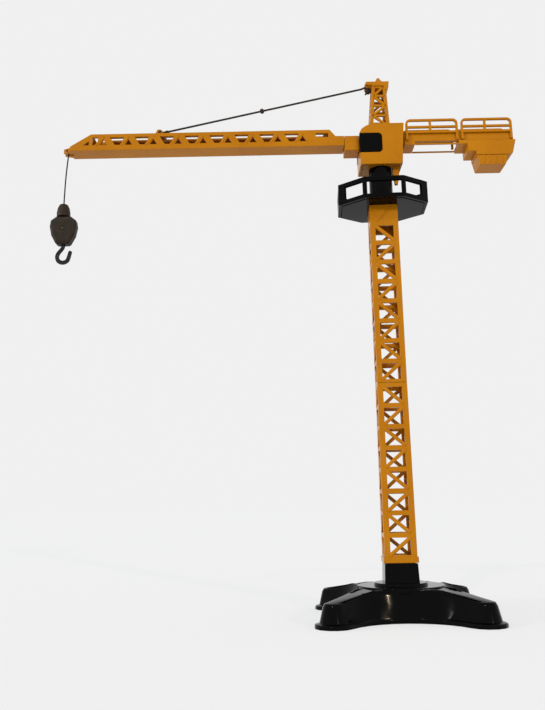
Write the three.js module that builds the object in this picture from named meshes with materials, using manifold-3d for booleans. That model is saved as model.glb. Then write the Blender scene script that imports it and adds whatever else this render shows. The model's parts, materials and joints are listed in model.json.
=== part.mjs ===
// Toy tower crane: a moulded star base, a two-piece lattice mast, a railed gallery, and the slewing
// upper works (cab, tower head, guyed jib, counter-jib) with a hook block hanging on a thread.
// Millimetres, +Z up. The mast's axis is X = Y = 0, the floor is Z = 0 and the jib points along -X.
// The upper works rest turned a few degrees about the mast, so they sit in a turned group.

import * as THREE from 'three';
import { mergeVertices } from 'three/addons/utils/BufferGeometryUtils.js';
import Module from 'manifold-3d';

const wasm = await Module();
wasm.setup();

// ---------- driving dimensions ----------

const gap = 0.3; // clearance between separate pieces
const wall = 2; // usual moulded wall

// base
const footCentre = 49.7; // X and Y of each foot's round end
const footRadius = 13.3;
const bayDepth = 33.8; // mast axis to the middle of a concave side
const flangeWidth = 3.2;
const flangeHeight = 2.8;
const baseDraft = 3.2; // how far the walls lean in over their height
const footTop = 16;
const starRise = 0.21; // slope of the legs' tops, towards the middle
const slopeStart = 68; // distance from the axis where that slope starts
const discRadius = 31.5;
const discTop = 22.4;
const stepRadius = 19;
const stepTop = discTop + 1.8;
const socketFloor = stepTop + 1.8;
const socketTop = socketFloor + 11.7;
const bossRadius = 5; // post under the socket that stands on the floor

// mast
const mastWidth = 22;
const spigotWidth = mastWidth - wall; // lower section's end inside the base's socket
const socketWidthTop = spigotWidth + 3.5;
const socketWidthBottom = socketWidthTop + 1.5;
const lowerLength = 130.7;
const upperLength = 142.7;
const mastFoot = socketTop + 2 * gap; // underside of the lower section's lip
const mastJoint = mastFoot + lowerLength;
const mastTop = mastJoint + gap + upperLength;
const lipHeight = 4;
const lipOut = 0.8;
const mastFlare = 0.65; // half-width gained from the joint down to the foot
const windowHeight = 12.2;
const chordWidth = 4;
const braceWidth = 2.4;
const upperBands = { top: 18.1, foot: 2.4 }; // plain bands over and under the windows
const lowerBands = { top: 3.2, foot: lipHeight + 1.3 };
const panelsEach = 8;
const spigotWall = 1.8;
const tongueLength = 8;

// gallery
const railAcross = 70; // gallery rail, across its flats along X
const railDeep = 53; // and along Y
const railSideFlat = 25; // length of the flats that face X
const railFrontFlat = 30.4; // length of the flats that face Y
const rimGap = 0.4; // rail to floor
const railWall = 2.6;
const floorBottom = mastTop + gap;
const floorThick = 3.4;
const rimDrop = 1.1; // rim's lower edge below the mast's top
const rimHeight = 3.2;
const railHeight = 17.3; // rim's lower edge to the top of the rail
const railBar = 3.6;
const postWidth = 4;
const sidePost = 6; // wider posts on the slanted flats
const hubHeight = 32.9;
const hubRadius = 9.25;
const pinRadius = 3.8;
const pinHeadRadius = pinRadius + 0.8;
const pinHeadHeight = 2;

// cab
const restSlew = 0.0535; // radians the upper works stand turned at rest
const cabBottom = floorBottom + hubHeight + gap;
const cabHeight = 35.3;
const cabTop = cabBottom + cabHeight;
const cabDepth = 24;
const cabNose = -16.8;
const cabBackBottom = 16.6;
const cabBackTop = 19;
const cabSlopeLow = cabTop - 7.6; // where the nose starts to slope back
const cabSlopeX = -5.6;
const windowBottom = cabBottom + 10.5;
const windowTop = cabTop - 8.6;
const windowBack = 0.8;
const windowCorner = 3;
const windowDepth = 1;
const windowProud = 0.25;

// tower head
const headBase = { x0: -7.6, x1: 8.6, y: 8 };
const headTip = { x0: -4.4, x1: 7.1, y: 6 };
const headTop = cabTop + gap + 30.9;
const headPanels = 3;
const capBox = { x0: -4.6, x1: 9.8, y: 6.6 };
const capTop = headTop + 9.2;
const capPeak = capTop + 6.5;

// jib
const jibWidth = 15.1;
const jibBottom = cabBottom + 18.8;
const jibTop = jibBottom + 13.9;
const jibFloor = 1.8; // solid underside
const jibSideWall = 1.8;
const jibTipX = -257;
const jibSlopeTopX = jibTipX + 22.8;
const jibSlopeFootX = jibTipX + 6;
const jibEnd = cabNose - 12.2;
const jibRootTopX = jibEnd - 11.5;
const jibRootFootX = jibEnd - 6.8;
const jibTongueTop = jibTop - 5.7;
const rootBottom = jibBottom - 4.3;
const bayCount = 8;
const firstTriangleX = jibTipX + 33.1;
const bayPitch = (jibRootTopX - 21.8 - firstTriangleX) / bayCount;
const jibWindowBottom = jibBottom + 4.3;
const jibWindowTop = jibTop - 2.8;
const forkSlot = 3;
const tipPinX = jibTipX + 3;
const tipPinZ = jibBottom + 1.7;
const tipPinRadius = 0.8;

// counter-jib
const deckStart = cabBackTop + 0.6;
const deckEnd = deckStart + 87.8;
const deckBottom = cabTop - 8.1;
const deckThick = 1.8;
const skirtBottom = deckBottom - 6.2;
const keelDepth = 1.6;
const footBlockEnd = deckStart + 8.4;
const footBlockBottom = deckBottom - 9.2;
const railTop = deckBottom + 12.1;
const railMid = deckBottom + 5.3;
const barSize = 1.7;
const railInset = 9; // Y of the hoops
const hoops = [[1.2, 43.3, 21.1], [45.8, 87, 65.1]]
  .map((along) => along.map((x) => deckStart + x)).map(([x0, x1, post]) => ({ x0, x1, post }));
const hoopFoot = deckBottom - 5.7;
const weightTop = deckBottom - 6.5;
const ballastTop = weightTop - 13.2;
const ballastHeight = 8;

// hoist
const ropeDiameter = 1.1;
const ropeSteps = 16;
const blockX = tipPinX - 1.3;
const blockTop = tipPinZ - 56;
const blockDepth = 10;
const hookCentre = { x: blockX + 0.1, z: blockTop - 33.3 };
const hookRadius = 4.7;
const hookThick = 1.75;

// ---------- materials ----------

const paint = (color, roughness, metalness = 0) =>
  new THREE.MeshStandardMaterial({ color, roughness, metalness });
const yellow = paint(0xc9860f, 0.42);
const glossBlack = paint(0x101014, 0.12);
const glass = paint(0x07070a, 0.15);
const blockBrown = paint(0x33271f, 0.5);
const thread = paint(0x2a1a12, 0.9);
const steel = paint(0x9a9aa0, 0.3, 0.9);

// ---------- making and joining solids ----------

// closed geometry -> manifold solid
function solid(geometry) {
  const bare = geometry.clone();
  bare.deleteAttribute('normal');
  bare.deleteAttribute('uv');
  const merged = mergeVertices(bare, 1e-4);
  const index = Array.from(merged.index.array);
  const corners = [];
  for (let i = 0; i < index.length; i += 3) {
    const [a, b, c] = index.slice(i, i + 3);
    if (a !== b && b !== c && c !== a) corners.push(a, b, c); // none that shrank to a line
  }
  merged.setIndex(corners);
  outward(merged);
  const mesh = new wasm.Mesh({
    numProp: 3,
    vertProperties: new Float32Array(merged.attributes.position.array),
    triVerts: new Uint32Array(merged.index.array),
  });
  return new wasm.Manifold(mesh);
}

// manifold solid -> three.js geometry
function geometryOf(manifold) {
  const mesh = manifold.getMesh();
  const geometry = new THREE.BufferGeometry();
  geometry.setAttribute('position', new THREE.BufferAttribute(new Float32Array(mesh.vertProperties), 3));
  geometry.setIndex(new THREE.BufferAttribute(new Uint32Array(mesh.triVerts), 1));
  return geometry;
}

const join = (...geometries) => geometryOf(geometries.map(solid).reduce((a, b) => a.add(b)));
const cut = (body, ...tools) => geometryOf(tools.map(solid).reduce((a, b) => a.subtract(b), solid(body)));
const common = (a, b) => geometryOf(solid(a).intersect(solid(b)));

const box = (x0, x1, y0, y1, z0, z1) =>
  new THREE.BoxGeometry(x1 - x0, y1 - y0, z1 - z0)
    .translate((x0 + x1) / 2, (y0 + y1) / 2, (z0 + z1) / 2);

const shapeOf = (points) => new THREE.Shape(points.map(([u, v]) => new THREE.Vector2(u, v)));

const extrude = (shape, depth) =>
  new THREE.ExtrudeGeometry(shape, { depth, bevelEnabled: false, curveSegments: 3 });

// shape in X and Z, extruded from y0 to y1
const alongY = (shape, y0, y1) => extrude(shape, y1 - y0).rotateX(Math.PI / 2).translate(0, y1, 0);

// shape in Y and Z, extruded from x0 to x1
const yzToX = new THREE.Matrix4().makeBasis(
  new THREE.Vector3(0, 1, 0), new THREE.Vector3(0, 0, 1), new THREE.Vector3(1, 0, 0));
const alongX = (shape, x0, x1) => extrude(shape, x1 - x0).applyMatrix4(yzToX).translate(x0, 0, 0);

// shape in X and Y, extruded from z0 to z1
const alongZ = (shape, z0, z1) => extrude(shape, z1 - z0).translate(0, 0, z0);

// [radius, z] profile turned about Z
const turned = (profile, sides = 24) =>
  new THREE.LatheGeometry(profile.map(([r, z]) => new THREE.Vector2(r, z)), sides).rotateX(Math.PI / 2);

const disc = (radius, z0, z1, sides = 24) => turned([[0, z0], [radius, z0], [radius, z1], [0, z1]], sides);

const pinAlongY = (x, z, radius, y0, y1, sides = 14) =>
  disc(radius, y0, y1, sides).rotateX(-Math.PI / 2).translate(x, 0, z);

// triangles that fill a ring, wound the way the ring runs
function orientedCap(ring) {
  const sense = Math.sign(THREE.ShapeUtils.area(ring));
  return THREE.ShapeUtils.triangulateShape(ring, []).map(([a, b, c]) =>
    (Math.sign(THREE.ShapeUtils.area([ring[a], ring[b], ring[c]])) === sense ? [a, b, c] : [c, b, a]));
}

function flipped(geometry) {
  const index = geometry.index.array;
  for (let i = 0; i < index.length; i += 3) [index[i], index[i + 1]] = [index[i + 1], index[i]];
  return geometry;
}

// turns a closed skin's faces outward
function outward(geometry) {
  const p = geometry.attributes.position;
  const corner = (i) => new THREE.Vector3().fromBufferAttribute(p, geometry.index.getX(i));
  let volume = 0;
  for (let i = 0; i < geometry.index.count; i += 3) {
    volume += corner(i).dot(corner(i + 1).cross(corner(i + 2)));
  }
  return volume < 0 ? flipped(geometry) : geometry;
}

// closed skin through rings of points that have the same count
function loft(rings) {
  const count = rings[0].length;
  const position = [];
  const face = [];
  for (const ring of rings) for (const p of ring) position.push(p.x, p.y, p.z);
  for (let r = 0; r + 1 < rings.length; r += 1) {
    for (let i = 0; i < count; i += 1) {
      const j = (i + 1) % count;
      const [a, b] = [r * count + i, r * count + j];
      face.push(a, b, b + count, a, b + count, a + count);
    }
  }
  const caps = [rings[0], rings.at(-1)].map((ring) =>
    orientedCap(ring.map((p) => new THREE.Vector2(p.u ?? p.x, p.v ?? p.y))));
  const last = (rings.length - 1) * count;
  for (const [a, b, c] of caps[0]) face.push(c, b, a);
  for (const [a, b, c] of caps[1]) face.push(last + a, last + b, last + c);
  const geometry = new THREE.BufferGeometry();
  geometry.setAttribute('position', new THREE.Float32BufferAttribute(position, 3));
  geometry.setIndex(face);
  return outward(geometry);
}

// round tube in the plane Y = 0 through points [x, z], its radius given point by point
function sweptTube(points, radiusAt, sides) {
  return loft(points.map(([x, z], i) => {
    const [before, after] = [points[Math.max(i - 1, 0)], points[Math.min(i + 1, points.length - 1)]];
    const length = Math.hypot(after[0] - before[0], after[1] - before[1]);
    const [tx, tz] = [(after[0] - before[0]) / length, (after[1] - before[1]) / length];
    return Array.from({ length: sides }, (_, j) => {
      const a = (2 * Math.PI * j) / sides;
      const out = radiusAt(i / (points.length - 1)) * Math.cos(a);
      const y = radiusAt(i / (points.length - 1)) * Math.sin(a);
      return { x: x - tz * out, y, z: z + tx * out, u: Math.cos(a), v: Math.sin(a) };
    });
  }));
}

// moves every vertex of a geometry by a rule
function reshaped(geometry, rule) {
  const p = geometry.attributes.position;
  for (let i = 0; i < p.count; i += 1) {
    const [x, y, z] = rule(p.getX(i), p.getY(i), p.getZ(i));
    p.setXYZ(i, x, y, z);
  }
  return geometry;
}

// the gallery's outline, inset: an octagon wider along X than along Y
function octagon(inset) {
  const [ax, ay] = [railAcross / 2, railDeep / 2];
  const [cx, cy] = [railFrontFlat / 2, railSideFlat / 2];
  const length = Math.hypot(ax - cx, ay - cy);
  const [nx, ny] = [(ay - cy) / length, (ax - cx) / length];
  const reach = nx * ax + ny * cy - inset;
  const [x, y] = [ax - inset, ay - inset];
  const corners = [[x, (reach - nx * x) / ny], [(reach - ny * y) / nx, y]];
  return [[1, 1], [-1, 1], [-1, -1], [1, -1]].flatMap(([sx, sy]) => {
    const quarter = corners.map(([u, v]) => [sx * u, sy * v]);
    return sx * sy > 0 ? quarter : quarter.reverse();
  });
}

// ---------- lattice ----------

const mastLattice = { window: windowHeight, chord: chordWidth, brace: braceWidth, wall };

// One side of a lattice tube in U and V: a plate with a column of windows, each crossed by a brace
// that leans right on even panels when lean is 1, and the other way when lean is -1.
function latticeSide(width, v0, v1, tops, lean, style) {
  const shape = shapeOf([[-width / 2, v0], [width / 2, v0], [width / 2, v1], [-width / 2, v1]]);
  const half = width / 2 - style.chord;
  const slant = Math.hypot(2 * half, style.window);
  const shift = (style.brace / 2) * (slant / style.window);
  const drop = (style.brace / 2) * (slant / (2 * half));
  tops.forEach((top, k) => {
    const bottom = top - style.window;
    const s = k % 2 ? -lean : lean;
    shape.holes.push(
      shapeOf([[-s * half, bottom + drop], [-s * half, top], [s * (half - shift), top]]),
      shapeOf([[s * half, top - drop], [s * half, bottom], [-s * (half - shift), bottom]]),
    );
  });
  return shape;
}

// square lattice tube; braces on opposite sides lean opposite ways, so they cross in view
function latticeTube(width, z0, z1, tops, style) {
  const h = width / 2;
  const side = (lean) => latticeSide(width, z0, z1, tops, lean, style);
  return join(
    alongY(side(-1), -h, -h + style.wall),
    alongY(side(1), h - style.wall, h),
    alongX(side(-1), -h, -h + style.wall),
    alongX(side(1), h - style.wall, h),
  );
}

const windowTops = (first, pitch, count) => Array.from({ length: count }, (_, k) => first - k * pitch);

// windows spread evenly between a section's plain bands
const sectionTops = (top, length, bands) => {
  const pitch = (length - bands.top - bands.foot - windowHeight) / (panelsEach - 1);
  return windowTops(top - bands.top, pitch, panelsEach);
};

const squareTube = (width, thick, z0, z1) =>
  cut(box(-width / 2, width / 2, -width / 2, width / 2, z0, z1),
    box(-width / 2 + thick, width / 2 - thick, -width / 2 + thick, width / 2 - thick, z0 - 1, z1 + 1));

// ---------- base ----------

const bayRadius = (footCentre ** 2 + (bayDepth - footCentre) ** 2 - footRadius ** 2)
  / (2 * (footRadius + footCentre - bayDepth));
const bayCentre = bayDepth + bayRadius;
const [footSteps, baySteps] = [8, 10];
const legTop = (d) => Math.min(footTop + starRise * Math.max(0, slopeStart - d), discTop - 0.6);

// the star outline, inset by part of the flange's width and by a plain amount; z follows height(d)
function starRing(flangeShare, inset, height) {
  const start = Math.atan2(-footCentre, bayCentre - footCentre);
  const bayStart = Math.atan2(footCentre - bayCentre, footCentre);
  const quarter = [];
  for (let i = 0; i <= footSteps; i += 1) {
    const a = start + ((Math.PI / 2 - 2 * start) * i) / footSteps;
    const r = footRadius - flangeShare * flangeWidth - inset;
    quarter.push([footCentre + r * Math.cos(a), footCentre + r * Math.sin(a)]);
  }
  for (let i = 1; i < baySteps; i += 1) {
    const t = (2 * i) / baySteps - 1;
    const fade = 0.2 + 0.8 * t * t;
    const a = bayStart + ((-Math.PI - 2 * bayStart) * i) / baySteps;
    const r = bayRadius + flangeShare * flangeWidth * fade + inset;
    quarter.push([r * Math.cos(a), bayCentre + r * Math.sin(a)]);
  }
  const ring = [];
  for (let q = 0; q < 4; q += 1) {
    const [c, s] = [[1, 0], [0, 1], [-1, 0], [0, -1]][q];
    for (const [x, y] of quarter) {
      const d = Math.hypot(x, y);
      ring.push({ x: c * x - s * y, y: s * x + c * y, z: height(d) });
    }
  }
  return ring;
}

// a circle of as many points as the star, level with it at the feet and the bays
const starCircle = (count, radius, height) => Array.from({ length: count }, (_, i) => {
  const a = Math.PI / 4 + ((i - footSteps / 2) * 2 * Math.PI) / count;
  return { x: radius * Math.cos(a), y: radius * Math.sin(a), z: height(radius) };
});

const between = (ring, other, share, height) => ring.map((p, i) => {
  const [x, y] = [p.x + (other[i].x - p.x) * share, p.y + (other[i].y - p.y) * share];
  return { x, y, z: height(Math.hypot(x, y)) };
});

function starBody(inset, drop, bottom, flanged) {
  const top = (d) => legTop(d) - drop;
  const at = (share) => (d) => flangeHeight + share * (top(d) - flangeHeight);
  const lip = starRing(1, inset + baseDraft + 2 - drop / 2, top);
  const middle = starCircle(lip.length, 26.5 - drop, top);
  return loft([
    ...(flanged
      ? [starRing(0, inset, () => bottom), starRing(0, inset, () => flangeHeight - 0.6),
        starRing(0, inset + 0.6, () => flangeHeight)]
      : [starRing(1, inset, () => bottom)]),
    starRing(1, inset + 0.1, at(0.05)),
    starRing(1, inset + baseDraft * 0.8, at(0.8)),
    starRing(1, inset + baseDraft + 0.6, (d) => top(d) - 0.5),
    lip,
    between(lip, middle, 0.5, top),
    middle,
  ]);
}

function makeBase() {
  const square = (half, z) => [[1, 1], [-1, 1], [-1, -1], [1, -1]]
    .map(([x, y]) => ({ x: x * half, y: y * half, z }));
  const socket = loft([square(socketWidthBottom / 2, 20), square(socketWidthTop / 2, socketTop)]);
  const plinth = turned([[0, 17], [discRadius - 2, 17], [discRadius, 19.6], [discRadius, discTop - 0.5],
    [discRadius - 0.5, discTop], [stepRadius + 0.6, discTop], [stepRadius, stepTop], [0, stepTop]], 40);
  const bore = spigotWidth / 2 + gap;
  const shell = cut(
    join(starBody(0, 0, 0, true), plinth, socket),
    starBody(wall, wall, -1, false),
    box(-bore, bore, -bore, bore, socketFloor, socketTop + 1),
  );
  return join(shell, disc(bossRadius, 0, socketFloor - 1, 16));
}

// ---------- mast ----------

const mastInside = mastWidth / 2 - wall;

function makeMastLower() {
  const tops = sectionTops(mastJoint, lowerLength, lowerBands);
  const flared = reshaped(latticeTube(mastWidth, mastFoot, mastJoint, tops, mastLattice), (x, y, z) => {
    const k = 1 + (mastFlare / (mastWidth / 2)) * ((mastJoint - z) / (mastJoint - mastFoot));
    return [x * k, y * k, z];
  });
  const lip = squareTube(mastWidth + 2 * (mastFlare + lipOut), wall + lipOut + mastFlare,
    mastFoot, mastFoot + lipHeight);
  const spigot = squareTube(spigotWidth, spigotWall, socketFloor + gap, mastFoot + 1);
  return join(flared, lip, spigot);
}

function makeMastUpper() {
  const tops = sectionTops(mastTop, upperLength, upperBands);
  const foot = mastJoint + gap;
  const pieces = [latticeTube(mastWidth, foot, mastTop, tops, mastLattice)];
  const [inner, outer] = [mastInside - gap - spigotWall, mastInside - gap];
  for (const [sx, sy] of [[1, 1], [-1, 1], [-1, -1], [1, -1]]) {
    const corner = (a, b, z0, z1) =>
      box(Math.min(sx * a, sx * b), Math.max(sx * a, sx * b),
        Math.min(sy * a, sy * b), Math.max(sy * a, sy * b), z0, z1);
    pieces.push(corner(inner, outer, mastJoint - tongueLength, foot + 1));
    pieces.push(corner(inner, mastInside + 0.5, foot, foot + 2.5));
  }
  const [markFoot, markTop, markOut] = [tops[0] + 2.6, mastTop - 2.6, mastWidth / 2 - 4.6];
  const mark = [[-markOut, markFoot], [-markOut + 0.7, markFoot], [markOut, markTop],
    [markOut - 0.7, markTop]];
  pieces.push(alongY(shapeOf(mark), -mastWidth / 2 - 0.4, -mastWidth / 2 + 0.5));
  pieces.push(alongY(shapeOf(mark), mastWidth / 2 - 0.5, mastWidth / 2 + 0.4));
  return join(...pieces);
}

// ---------- gallery ----------

function makeGalleryFloor() {
  const spigot = squareTube(2 * (mastInside - gap), spigotWall, floorBottom - 9, floorBottom + 1);
  const hub = disc(hubRadius, floorBottom, floorBottom + hubHeight, 32);
  const under = floorBottom - rimDrop - gap;
  const plate = alongZ(shapeOf(octagon(railWall + rimGap)), under, under + floorThick);
  const pocket = mastWidth / 2 + gap; // the mast's end is let into the floor
  return cut(
    join(cut(plate, box(-pocket, pocket, -pocket, pocket, under - 1, floorBottom)), hub, spigot),
    disc(pinRadius + gap, floorBottom - 20, cabBottom + 1),
  );
}

function makeGalleryRail() {
  const bottom = floorBottom - rimDrop;
  const ring = cut(
    alongZ(shapeOf(octagon(0)), bottom, bottom + railHeight),
    alongZ(shapeOf(octagon(railWall)), bottom - 1, bottom + railHeight + 1),
  );
  const [z0, z1] = [bottom + rimHeight, bottom + railHeight - railBar];
  const frontHalf = (railFrontFlat - postWidth) / 2;
  const sideHalf = (railSideFlat - postWidth) / 2;
  const [dx, dy] = [(railAcross - railFrontFlat) / 2, (railDeep - railSideFlat) / 2];
  const windows = [
    box(-frontHalf, frontHalf, -railDeep, railDeep, z0, z1),
    box(-railAcross, railAcross, -sideHalf, sideHalf, z0, z1),
  ];
  for (const [sx, sy] of [[1, 1], [-1, 1], [-1, -1], [1, -1]]) {
    windows.push(box(postWidth / 2, Math.hypot(dx, dy) - sidePost, -4, 4, z0, z1)
      .rotateZ(Math.atan2(-sy * dy, sx * dx))
      .translate((sx * railFrontFlat) / 2, (sy * railDeep) / 2, 0));
  }
  return cut(ring, ...windows);
}

// ---------- cab ----------

const cabHalf = cabDepth / 2;
const cabFloorTop = cabBottom + wall;
const cabBackAt = (z) =>
  cabBackBottom + ((cabBackTop - cabBackBottom) * (z - cabBottom)) / (cabTop - cabBottom);

// the cab's side view, inset all round
function cabOutline(inset, below = 0) {
  const [left, top] = [cabNose + inset, cabTop - inset];
  const shape = new THREE.Shape();
  shape.moveTo(left, cabBottom - below);
  shape.lineTo(cabBackAt(cabBottom) - inset, cabBottom - below);
  shape.lineTo(cabBackTop - inset, top);
  shape.lineTo(cabSlopeX + inset / 2, top);
  shape.quadraticCurveTo(left + 1.2, top - 2.2, left, cabSlopeLow - inset / 2);
  return shape;
}

// an L-shaped pane's space: the side face forward of windowBack and the nose beside the jib's root
function windowBlock(grow, depth, proud) {
  const [z0, z1] = [windowBottom - grow, windowTop + grow];
  const back = windowBack + grow;
  const face = new THREE.Shape();
  face.moveTo(cabNose - proud, z0);
  face.lineTo(back - windowCorner, z0);
  face.absarc(back - windowCorner, z0 + windowCorner, windowCorner, -Math.PI / 2, 0);
  face.absarc(back - windowCorner, z1 - windowCorner, windowCorner, 0, Math.PI / 2);
  face.lineTo(cabNose - proud, z1);
  return join(
    alongY(face, -cabHalf - proud, -cabHalf + depth),
    box(cabNose - proud, cabNose + depth, -cabHalf - proud, -rootHalf - 2 * gap + grow, z0, z1),
  );
}

const mirroredY = (geometry) => flipped(reshaped(geometry.clone(), (x, y, z) => [x, -y, z]));

const makeWindow = () => windowBlock(0, windowDepth - gap, windowProud);

const rootHalf = jibWidth / 2 + 0.05; // half-width of the jib's root block
const noseHole = { y: 5.2, z0: jibBottom - 2.3, z1: jibBottom + 5.7 };
const backHole = { y: 5.2, z0: deckBottom - 7.3, z1: deckBottom - 1.3 };

function makeCab() {
  const recess = windowBlock(gap, windowDepth, 2);
  return cut(
    alongY(cabOutline(0), -cabHalf, cabHalf),
    alongY(cabOutline(wall, 1), -cabHalf + wall, cabHalf - wall),
    recess,
    mirroredY(recess),
    box(cabNose - 1, cabNose + wall + 1, -noseHole.y, noseHole.y, noseHole.z0, noseHole.z1),
    box(cabBackBottom - wall, cabBackTop + 1, -backHole.y, backHole.y, backHole.z0, backHole.z1),
  );
}

function makeCabFloor() {
  const [x0, x1] = [cabNose + wall + gap, cabBackBottom - wall - gap];
  const y1 = cabHalf - wall - gap;
  const tabX = hubRadius + gap;
  const [tabShoulder, tabFoot] = [cabBottom - 8, cabBottom - 14.8];
  const tab = shapeOf([[tabX, cabBottom + 1], [tabX, tabShoulder], [tabX + 1.1, tabFoot],
    [tabX + 3.4, tabFoot], [tabX + 4.8, tabShoulder], [tabX + 4.8, cabBottom + 1]]);
  return cut(
    join(box(x0, x1, -y1, y1, cabBottom, cabFloorTop), alongY(tab, -5.2, -2.8)),
    disc(pinRadius + gap, cabBottom - 5, cabFloorTop + 1),
  );
}

// captive pin: a head under the gallery floor and a flange on the cab floor
const makeSlewPin = () => turned([
  [0, floorBottom - gap - pinHeadHeight], [pinHeadRadius - 0.8, floorBottom - gap - pinHeadHeight],
  [pinHeadRadius, floorBottom - gap - pinHeadHeight + 0.8], [pinHeadRadius, floorBottom - gap],
  [pinRadius, floorBottom - gap], [pinRadius, cabFloorTop + gap], [pinRadius + 2.4, cabFloorTop + gap],
  [pinRadius + 2.4, cabFloorTop + gap + 1.6], [0, cabFloorTop + gap + 1.6]]);

// ---------- tower head and guy ----------

const headFoot = cabTop + gap;
const headLattice = { window: 7.2, chord: 3, brace: 1.9, wall: 1.6 };
const capBottom = headTop + gap;
const guyHead = { x: -7.8, z: capTop - 0.9 };
const guyFoot = { x: jibTipX + 78, z: jibTop + 3.6 };
const guyPinRadius = 1;
const guyRadius = 0.8;
const earGap = 1.6; // half the space between a pin's ears
const earWall = 1.4;

function makeHead() {
  const size = headBase.x1 - headBase.x0;
  const pitch = (headTop - headFoot - 1.4) / headPanels;
  const tops = windowTops(headTop - 1.8, pitch, headPanels);
  const mid = (a) => (a.x0 + a.x1) / 2;
  return reshaped(latticeTube(size, headFoot, headTop, tops, headLattice), (x, y, z) => {
    const t = (z - headFoot) / (headTop - headFoot);
    const centre = mid(headBase) + (mid(headTip) - mid(headBase)) * t;
    const width = size + (headTip.x1 - headTip.x0 - size) * t;
    const depth = 2 * (headBase.y + (headTip.y - headBase.y) * t);
    return [centre + (x * width) / size, (y * depth) / size, z];
  });
}

// two ears that hold a pin along Y; outline in X and Z
const ears = (outline) => [1, -1].map((side) => {
  const inner = side * earGap;
  const outer = side * (earGap + earWall);
  return alongY(shapeOf(outline), Math.min(inner, outer), Math.max(inner, outer));
});

function makeCap() {
  const { x0, x1, y } = capBox;
  const slab = shapeOf([[x0, capBottom], [x1 - 2.5, capBottom], [x1 - 0.4, capBottom + 2.6], [x1, capTop],
    [x0, capTop]]);
  const tier = (half, middle, z) => [[1, 1], [-1, 1], [-1, -1], [1, -1]]
    .map(([sx, sy]) => ({ x: middle + sx * half, y: sy * half * 1.3, z }));
  const middle = (x0 + x1) / 2 - 0.8;
  const peak = loft([tier(3.1, middle, capTop - 0.5), tier(0.7, middle, capPeak)]);
  const lugTop = guyHead.z + guyPinRadius + gap + 0.7;
  const lug = [[guyHead.x - 2, capBottom + 2.4], [x0 + 1, capBottom + 0.6], [x0 + 1, lugTop],
    [guyHead.x - 1, lugTop], [guyHead.x - 2, guyHead.z]];
  return cut(
    join(alongY(slab, -y, y), peak, ...ears(lug)),
    box(guyHead.x - 4, x0 + 2.4, -earGap, earGap, capBottom - 1, capTop + 3),
    pinAlongY(guyHead.x, guyHead.z, guyPinRadius + gap, -5, 5),
  );
}

const makeGuyPin = ({ x, z }) =>
  pinAlongY(x, z, guyPinRadius, -earGap - earWall - 0.4, earGap + earWall + 0.4);

const guyBend = { x: guyHead.x - 4.2, z: guyHead.z - 2.1 };
const beadX = guyHead.x - 87.3;

const away = (from, to, distance) => {
  const length = Math.hypot(to.x - from.x, to.z - from.z);
  const k = distance / length;
  return { x: from.x + (to.x - from.x) * k, z: from.z + (to.z - from.z) * k };
};

function makeGuy() {
  const start = away(guyHead, guyBend, guyPinRadius + gap);
  const end = away(guyFoot, guyBend, guyPinRadius + gap);
  const bendSize = 1.6;
  const [before, after] = [away(guyBend, start, bendSize), away(guyBend, end, bendSize)];
  const bend = new THREE.QuadraticBezierCurve(
    new THREE.Vector2(before.x, before.z), new THREE.Vector2(guyBend.x, guyBend.z),
    new THREE.Vector2(after.x, after.z));
  const settled = away(guyBend, end, 2 * bendSize);
  const points = [[start.x, start.z], ...bend.getPoints(4).map((p) => [p.x, p.y]),
    [settled.x, settled.z], [end.x, end.z]];
  return sweptTube(points, () => guyRadius, 10);
}

function makeBead() {
  const slope = Math.atan2(guyFoot.z - guyBend.z, guyFoot.x - guyBend.x);
  const z = guyBend.z + (beadX - guyBend.x) * Math.tan(slope);
  const inner = guyRadius + gap;
  return turned([[inner, -1.6], [inner + 0.9, -1], [inner + 0.9, 1], [inner, 1.6], [inner, -1.6]], 14)
    .rotateY(Math.PI / 2 - slope).translate(beadX, 0, z);
}

// ---------- jib ----------

const jibHalf = jibWidth / 2;
const jibFloorTop = jibBottom + jibFloor;
const tipTop = tipPinZ + tipPinRadius + gap + 0.7;

// windows of both side walls, in X and Z: upright triangles between inverted trapezoids
function jibWindows() {
  const [low, high] = [jibWindowBottom, jibWindowTop];
  const noseX = firstTriangleX - 9;
  const windows = [
    [[noseX - 7.6, low], [noseX - 2.9, low], [noseX - 2.9, low + 3.8]],
    [[noseX, low], [noseX + 3.4, low], [noseX + 5, high], [noseX, high]],
  ];
  for (let k = 0; k <= bayCount; k += 1) {
    const x = firstTriangleX + k * bayPitch;
    windows.push([[x - 3.1, low], [x + 3.1, low], [x, low + 4.9]]);
    if (k > 0) {
      const bay = (share) => x - share * bayPitch;
      windows.push([[bay(0.54), low], [bay(0.302), low], [bay(0.178), high], [bay(0.743), high]]);
    }
  }
  const last = firstTriangleX + bayCount * bayPitch;
  const sill = low + 3.2;
  windows.push([[last + 10.4, sill], [last + 20.6, sill], [last + 20.6, high], [last + 10.4, high]]);
  return windows.map((points) => alongY(shapeOf(points), -jibHalf - 1, jibHalf + 1));
}

const jibSide = () => shapeOf([[jibSlopeFootX, jibBottom], [jibEnd, jibBottom], [jibEnd, jibTongueTop],
  [jibRootFootX, jibTongueTop], [jibRootTopX, jibTop], [jibSlopeTopX, jibTop], [jibSlopeFootX, tipTop]]);

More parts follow.
